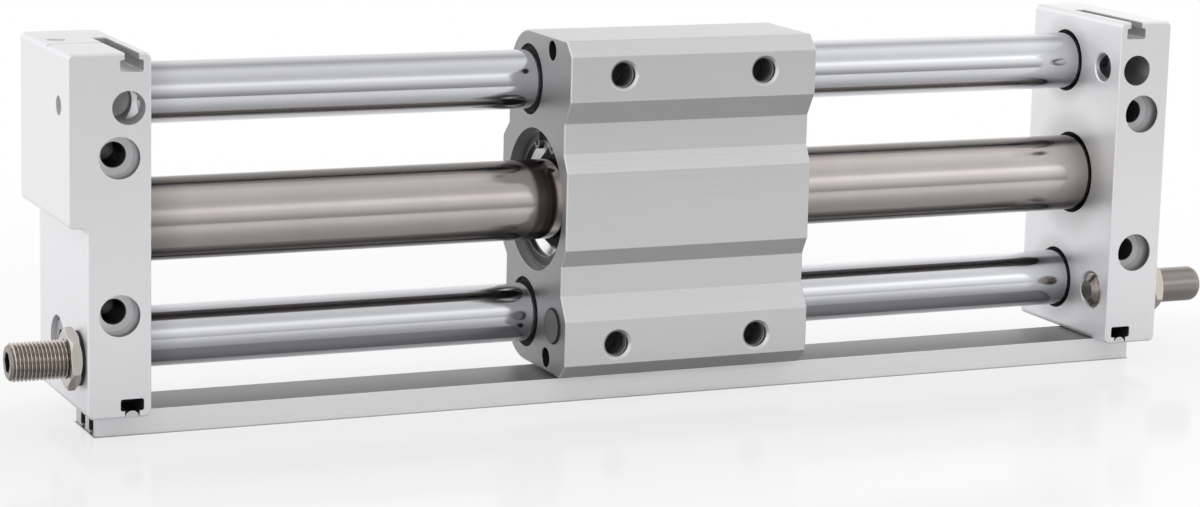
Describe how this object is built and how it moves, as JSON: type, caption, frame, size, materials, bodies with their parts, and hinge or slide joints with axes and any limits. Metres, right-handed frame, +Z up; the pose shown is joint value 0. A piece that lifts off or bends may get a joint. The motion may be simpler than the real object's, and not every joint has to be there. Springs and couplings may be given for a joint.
{
  "type": "rodless pneumatic cylinder",
  "caption": "Magnetically coupled rodless air cylinder: a slide block on guide shafts follows a piston in the tube, between end plates with adjusting bolts and a switch rail.",
  "frame": {"origin": "on the floor under the middle of the cylinder tube, halfway between the end plates: a point of the switch rail's underside, which the cylinder stands on", "axes": "+X along the tube from the ported end plate to the plain one, +Z up from the rail, -Y the side that the slide block's load face looks to and +Y the side of the base face"},
  "size_m": [0.3519, 0.0466, 0.099],
  "materials": {
    "plate_aluminium": "fine bead-blasted, clear anodised",
    "slide_aluminium": "satin extrusion, clear anodised, faint lines along X",
    "rail_aluminium": "satin extrusion, clear anodised",
    "holder_aluminium": "turned",
    "sleeve_aluminium": "turned",
    "piston_aluminium": "turned",
    "tube_stainless": "drawn stainless steel, satin, warm tint",
    "guide_chrome": "ground and hard chrome plated",
    "bolt_steel": "nickel plated, warm grey",
    "nut_steel": "nickel plated, warm grey",
    "screw_steel": "zinc plated",
    "slot_nut_steel": "zinc plated",
    "ball_steel": "bright ground steel",
    "retainer_steel": "black phosphated spring steel",
    "yoke_iron": "ground, zinc plated",
    "magnet_nickel": "nickel plated rare-earth magnet",
    "bush_bronze": "sintered oil-filled bronze",
    "black_rubber": "nitrile rubber, satin black",
    "washer_rubber": "bonded seal washer, black",
    "stop_urethane": "urethane, dark grey",
    "wear_resin": "filled PTFE"
  },
  "bodies": {
    "frame": {"end_plate_ported": "plate_aluminium", "end_plate_plain": "plate_aluminium", "cylinder_tube": "tube_stainless", "guide_shaft_upper": "guide_chrome", "guide_shaft_lower": "guide_chrome", "tube_end_seals": "black_rubber", "guide_upper_end_seals": "black_rubber", "guide_lower_end_seals": "black_rubber", "guide_shaft_screws": "screw_steel", "guide_set_screws": "screw_steel", "shaft_passage_balls": "ball_steel", "tube_passage_balls": "ball_steel", "switch_rail": "rail_aluminium", "rail_screws": "screw_steel", "rail_slot_nuts": "slot_nut_steel", "lock_nut_left": "nut_steel", "lock_nut_right": "nut_steel", "lock_washer_left": "washer_rubber", "lock_washer_right": "washer_rubber"},
    "slider": {"slide_block": "slide_aluminium", "stop_pad_left": "stop_urethane", "stop_pad_right": "stop_urethane", "guide_bushes_upper": "bush_bronze", "guide_bushes_lower": "bush_bronze", "guide_scrapers_upper": "black_rubber", "guide_scrapers_lower": "black_rubber", "scraper_backing_rings_upper": "ball_steel", "scraper_backing_rings_lower": "ball_steel", "magnet_retaining_rings": "retainer_steel", "scraper_holders": "holder_aluminium", "tube_scrapers": "black_rubber", "tube_wear_rings": "wear_resin", "magnet_sleeve": "sleeve_aluminium", "outer_yokes": "yoke_iron", "outer_magnets": "magnet_nickel", "switch_magnet": "magnet_nickel"},
    "piston": {"piston_shaft": "screw_steel", "inner_yokes": "yoke_iron", "inner_magnets": "magnet_nickel", "piston_left": "piston_aluminium", "piston_right": "piston_aluminium", "piston_seals": "black_rubber", "piston_wear_rings": "wear_resin", "piston_nuts": "nut_steel", "piston_bumpers": "stop_urethane"},
    "adjuster_left": {"adjusting_bolt_left": "bolt_steel"},
    "adjuster_right": {"adjusting_bolt_right": "bolt_steel"}
  },
  "joints": [
    {"name": "slide_travel", "type": "slide", "parent": "frame", "child": "slider", "axis": [1, 0, 0], "range_m": [-0.11125, 0.09425]},
    {"name": "piston_travel", "type": "slide", "parent": "frame", "child": "piston", "axis": [1, 0, 0], "range_m": [-0.11125, 0.09425]},
    {"name": "left_stop_adjust", "type": "slide", "parent": "frame", "child": "adjuster_left", "axis": [-1, 0, 0], "range_m": [0, 0.006]},
    {"name": "right_stop_adjust", "type": "slide", "parent": "frame", "child": "adjuster_right", "axis": [1, 0, 0], "range_m": [0, 0.006]}
  ],
  "couplings": [
    {"joint": "piston_travel", "follows": "slide_travel", "ratio": 1}
  ]
}
